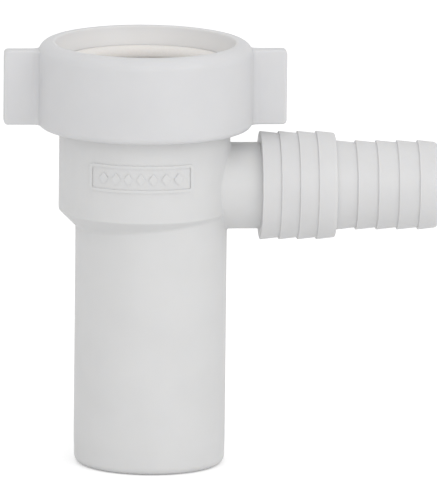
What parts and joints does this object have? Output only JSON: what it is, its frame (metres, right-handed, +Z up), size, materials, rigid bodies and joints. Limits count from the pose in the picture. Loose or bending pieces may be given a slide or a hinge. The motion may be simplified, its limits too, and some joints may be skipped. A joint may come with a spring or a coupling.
{
  "type": "sink waste branch connector",
  "caption": "White plastic sink waste connector: winged swivel nut, wide chamber, straight tail pipe and a two-step barbed hose nozzle at the side.",
  "frame": {"origin": "centre of the tail pipe's lower end", "axes": "+Z up the tail pipe towards the nut, +X out along the branch towards the hose nozzle"},
  "size_m": [0.1151, 0.0568, 0.1129],
  "materials": {
    "body_plastic": "satin moulded white polypropylene",
    "neck_plastic": "satin moulded white polypropylene",
    "gasket_rubber": "soft pale rubber",
    "nut_plastic": "satin moulded white polypropylene",
    "nozzle_plastic": "satin moulded white polypropylene"
  },
  "bodies": {
    "body": {"tee_body": "body_plastic", "flanged_neck": "neck_plastic", "hose_nozzle": "nozzle_plastic"},
    "gasket": {"gasket": "gasket_rubber"},
    "nut": {"wing_nut": "nut_plastic"}
  },
  "joints": [
    {"name": "nut_turn", "type": "hinge", "parent": "body", "child": "nut", "pos_m": [-0.0019, 0, 0.09015], "axis": [0, 0, 1], "continuous": true},
    {"name": "gasket_lift", "type": "slide", "parent": "body", "child": "gasket", "axis": [0, 0, 1], "range_m": [0, 0.02]}
  ]
}
